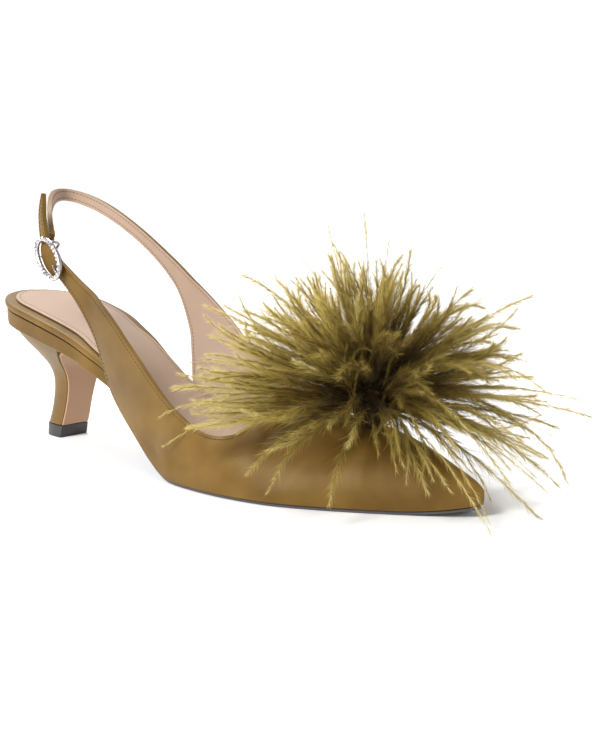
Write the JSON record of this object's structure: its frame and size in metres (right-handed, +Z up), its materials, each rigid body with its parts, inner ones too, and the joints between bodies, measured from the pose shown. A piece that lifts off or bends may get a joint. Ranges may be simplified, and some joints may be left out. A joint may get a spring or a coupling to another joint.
{
  "type": "slingback shoe",
  "caption": "Satin slingback pump for the right foot, with a pointed toe, a curved mid heel, a buckled sling strap and a feather puff on the vamp.",
  "frame": {"origin": "on the floor, at the centre of the underside of the heel's top piece", "axes": "+X along the foot to the toe, +Y to the inner side of the foot, +Z up"},
  "size_m": [0.2661, 0.1459, 0.1113],
  "materials": {
    "satin": "olive-bronze satin with a soft sheen",
    "sock": "pink-beige lining leather, matt",
    "nude_leather": "nude covering leather, matt",
    "sole": "dark, slightly glossy sole",
    "top_piece": "black, matt",
    "buckle": "polished silver colour, set with clear stones",
    "feather": "olive feather, lighter at the tips"
  },
  "bodies": {
    "root": {"upper": "satin", "insole": "satin", "sock_lining": "sock", "outsole": "sole", "shank_rand": "satin", "heel_block": "satin", "breast_panel": "nude_leather", "top_piece": "top_piece", "buckle_frame": "buckle", "buckle_bar": "buckle", "buckle_prong": "buckle", "feather_puff": "feather"}
  },
  "joints": []
}
